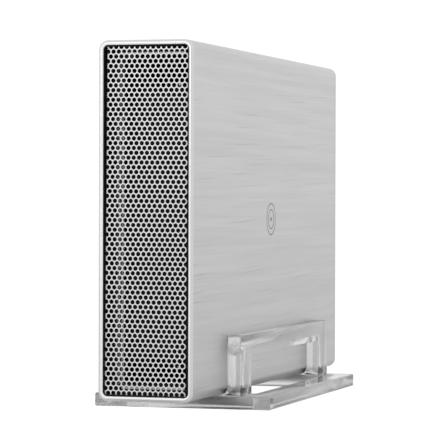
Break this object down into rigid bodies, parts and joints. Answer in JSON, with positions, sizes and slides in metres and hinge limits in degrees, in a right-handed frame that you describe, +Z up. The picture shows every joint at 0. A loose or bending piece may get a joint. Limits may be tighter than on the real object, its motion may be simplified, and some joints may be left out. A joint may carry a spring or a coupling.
{
  "type": "network attached storage",
  "caption": "Slim upright storage box with a brushed aluminium sleeve and perforated front, standing in a clear acrylic stand.",
  "frame": {"origin": "middle of the whole object's footprint, on the surface that the stand rests on", "axes": "+Z up; the grille faces -Y and the sockets face +Y; +X is to the right seen from the front"},
  "size_m": [0.069, 0.2114, 0.1356],
  "materials": {
    "acrylic": "clear polished acrylic",
    "brushed_aluminium": "brushed along its length, clear anodised",
    "black_plastic": "matt",
    "grille_metal": "satin silver paint",
    "zinc_steel": "zinc-plated sheet",
    "panel_metal": "satin, clear anodised",
    "screw_steel": "nickel-plated",
    "board": "green solder mask",
    "black_board": "black solder mask",
    "chip": "moulded epoxy",
    "socket_shell": "bright tinned steel",
    "contacts": "gold flash",
    "cast_aluminium": "cast, machined on the seats",
    "coated_casting": "black electrophoretic coating on cast aluminium",
    "cover_metal": "pressed, satin",
    "disc": "polished",
    "lamp_resin": "clear diffused resin",
    "cable": "white film",
    "heatsink_metal": "black anodised",
    "pad_rubber": "clear soft silicone"
  },
  "bodies": {
    "stand": {"stand_base_plate": "acrylic", "stand_bracket_right": "acrylic", "stand_bracket_left": "acrylic", "stand_pads": "pad_rubber"},
    "enclosure": {"outer_sleeve": "brushed_aluminium", "grille_carrier": "black_plastic", "front_grille": "grille_metal", "grille_flanges": "grille_metal"},
    "tray": {"chassis_tray": "zinc_steel", "rear_panel": "panel_metal", "panel_screws": "screw_steel", "fan_frame": "black_plastic", "fan_screws": "screw_steel", "main_board": "board", "board_standoffs": "contacts", "board_screws": "screw_steel", "network_socket": "socket_shell", "network_contacts": "contacts", "usb_socket": "socket_shell", "usb_tongue": "black_plastic", "power_inlet": "black_plastic", "power_pin": "socket_shell", "switch_housing": "black_plastic", "reset_switch": "chip", "processor": "chip", "heatsink": "heatsink_metal", "memory_chips": "chip", "support_chips": "chip", "capacitors": "socket_shell", "drive_lead_connector": "black_plastic", "light_board": "black_board", "light_board_pillars": "contacts", "status_lights": "lamp_resin", "flat_cable": "cable", "drive_rails": "zinc_steel", "drive_screws": "screw_steel", "drive_base": "coated_casting", "drive_cover": "cover_metal", "cover_screws": "screw_steel", "coil_magnets": "socket_shell", "drive_circuit_board": "board", "drive_board_chips": "chip"},
    "thumb_lower": {"thumbscrew_lower": "screw_steel"},
    "thumb_upper": {"thumbscrew_upper": "screw_steel"},
    "fan_wheel": {"fan_rotor": "black_plastic"},
    "rocker": {"power_rocker": "black_plastic"},
    "reset": {"reset_button": "black_plastic"},
    "disc_stack": {"drive_platters": "disc", "spindle_hub": "cast_aluminium"},
    "arm": {"head_arm": "cast_aluminium"}
  },
  "joints": [
    {"name": "enclosure_lift", "type": "slide", "parent": "stand", "child": "enclosure", "axis": [0, 0, 1], "range_m": [0, 0.025]},
    {"name": "tray_slide", "type": "slide", "parent": "enclosure", "child": "tray", "axis": [0, 1, 0], "range_m": [0, 0.19]},
    {"name": "thumbscrew_lower_turn", "type": "hinge", "parent": "tray", "child": "thumb_lower", "pos_m": [0.0115, 0.10235, 0.0142], "axis": [0, 1, 0], "continuous": true},
    {"name": "thumbscrew_upper_turn", "type": "hinge", "parent": "tray", "child": "thumb_upper", "pos_m": [0.0115, 0.10235, 0.127], "axis": [0, 1, 0], "continuous": true},
    {"name": "fan_spin", "type": "hinge", "parent": "tray", "child": "fan_wheel", "pos_m": [0.0005, 0.09535, 0.1086], "axis": [0, 1, 0], "continuous": true},
    {"name": "rocker_tip", "type": "hinge", "parent": "tray", "child": "rocker", "pos_m": [0.0005, 0.10085, 0.0396], "axis": [1, 0, 0], "range_deg": [0, 20]},
    {"name": "reset_press", "type": "slide", "parent": "tray", "child": "reset", "axis": [0, -1, 0], "range_m": [0, 0.0006], "stiffness_N_per_m": 400},
    {"name": "platter_spin", "type": "hinge", "parent": "tray", "child": "disc_stack", "pos_m": [-0.0003, -0.03765, 0.0686], "axis": [1, 0, 0], "continuous": true},
    {"name": "head_arm_swing", "type": "hinge", "parent": "tray", "child": "arm", "pos_m": [-0.0003, 0.01434, 0.0886], "axis": [-1, 0, 0], "range_deg": [0, 36]}
  ]
}
